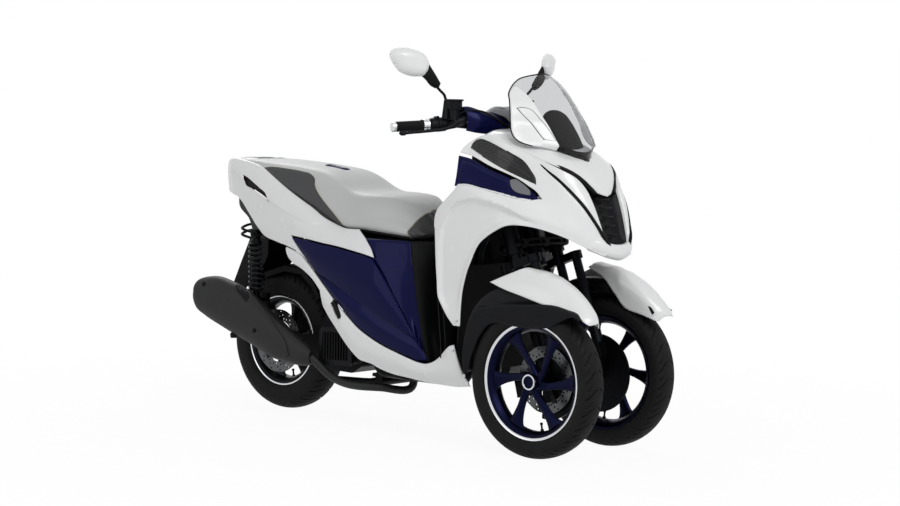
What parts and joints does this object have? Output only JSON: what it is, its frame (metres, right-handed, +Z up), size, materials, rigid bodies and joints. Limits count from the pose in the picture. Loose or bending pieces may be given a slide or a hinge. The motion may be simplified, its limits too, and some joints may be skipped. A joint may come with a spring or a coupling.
{
  "type": "leaning three-wheeled scooter",
  "caption": "Step-through scooter with a steered pair of front wheels on a leaning linkage, one driven rear wheel, and a seat that lifts over a storage tub.",
  "frame": {"origin": "on the ground, in the centre plane, at the middle of the overall length", "axes": "+X forward, +Y to the rider's left, +Z up"},
  "size_m": [1.8524, 0.832, 1.31],
  "materials": {
    "white": "gloss",
    "blue": "metallic gloss",
    "black": "grained",
    "grey": "satin",
    "wheel_paint": "metallic",
    "rear_wheel_paint": "satin",
    "frame_paint": "satin",
    "alloy": "cast",
    "exhaust_black": "matt",
    "steel": "brushed",
    "tyre": "rubber",
    "rubber": "ribbed",
    "smoke_glass": "smoked clear",
    "lamp_glass": "dark smoked",
    "red_lamp": "clear",
    "seat_vinyl": "soft grained"
  },
  "bodies": {
    "chassis": {"frame": "frame_paint", "knuckles": "frame_paint", "linkage_arms": "frame_paint", "cowl_right": "white", "cowl_left": "white", "side_lamps": "lamp_glass", "side_patches": "blue", "nose_cover": "white", "nose_chin": "white", "nose_grille": "black", "windscreen": "smoke_glass", "screen_wings": "white", "dash_panel": "black", "leg_shield": "black", "well_liner": "black", "skirt_right": "white", "skirt_left": "white", "side_covers": "blue", "side_sills": "blue", "tail_right": "white", "tail_left": "white", "tail_top": "white", "tail_lamp": "red_lamp", "seat_box": "blue", "floorboard": "black", "storage_tub": "black", "engine": "alloy", "transmission": "alloy", "radiator_cover": "black", "rear_shocks": "frame_paint", "muffler": "exhaust_black", "exhaust_pipe": "exhaust_black", "rear_hugger": "black", "rear_mudguard": "black"},
    "bars": {"steering_column": "frame_paint", "grips": "rubber", "bar_ends": "steel", "controls": "black", "mirror_stems": "black", "mirrors": "white", "bar_cover": "blue", "meter": "grey"},
    "tie_rod": {"tie_rod": "frame_paint"},
    "fork_right": {"fork_right": "frame_paint", "arch_right": "black", "mudguard_right": "white"},
    "fork_left": {"fork_left": "frame_paint", "arch_left": "black", "mudguard_left": "white"},
    "wheel_front_right": {"wheel_front_right": "wheel_paint", "tyre_front_right": "tyre"},
    "wheel_front_left": {"wheel_front_left": "wheel_paint", "tyre_front_left": "tyre"},
    "wheel_rear": {"wheel_rear": "rear_wheel_paint", "tyre_rear": "tyre"},
    "seat": {"seat_cushion": "seat_vinyl", "seat_base": "black"},
    "stand": {"centre_stand": "frame_paint"}
  },
  "joints": [
    {"name": "steering", "type": "hinge", "parent": "chassis", "child": "bars", "pos_m": [0.41726, 0, 0.89839], "axis": [-0.342, 0, 0.9397], "range_deg": [-30, 30]},
    {"name": "fork_right_turn", "type": "hinge", "parent": "chassis", "child": "fork_right", "pos_m": [0.48225, -0.11, 0.71985], "axis": [-0.342, 0, 0.9397], "range_deg": [-30, 30]},
    {"name": "fork_left_turn", "type": "hinge", "parent": "chassis", "child": "fork_left", "pos_m": [0.48225, 0.11, 0.71985], "axis": [-0.342, 0, 0.9397], "range_deg": [-30, 30]},
    {"name": "tie_rod_turn", "type": "hinge", "parent": "bars", "child": "tie_rod", "pos_m": [0.47392, 0, 0.57315], "axis": [-0.342, 0, 0.9397], "range_deg": [-30, 30]},
    {"name": "wheel_front_right_spin", "type": "hinge", "parent": "fork_right", "child": "wheel_front_right", "pos_m": [0.67625, -0.1925, 0.25], "axis": [0, 1, 0], "continuous": true},
    {"name": "wheel_front_left_spin", "type": "hinge", "parent": "fork_left", "child": "wheel_front_left", "pos_m": [0.67625, 0.1925, 0.25], "axis": [0, 1, 0], "continuous": true},
    {"name": "wheel_rear_spin", "type": "hinge", "parent": "chassis", "child": "wheel_rear", "pos_m": [-0.63375, 0, 0.251], "axis": [0, 1, 0], "continuous": true},
    {"name": "seat_hinge", "type": "hinge", "parent": "chassis", "child": "seat", "pos_m": [0.06875, 0, 0.652], "axis": [0, 1, 0], "range_deg": [0, 55]},
    {"name": "stand_hinge", "type": "hinge", "parent": "chassis", "child": "stand", "pos_m": [-0.09625, 0, 0.158], "axis": [0, -1, 0], "range_deg": [0, 95], "stiffness_Nm_per_rad": 6, "springref_deg": -68.75}
  ],
  "couplings": [
    {"joint": "fork_right_turn", "follows": "steering", "ratio": 1},
    {"joint": "fork_left_turn", "follows": "steering", "ratio": 1},
    {"joint": "tie_rod_turn", "follows": "steering", "ratio": -1}
  ]
}
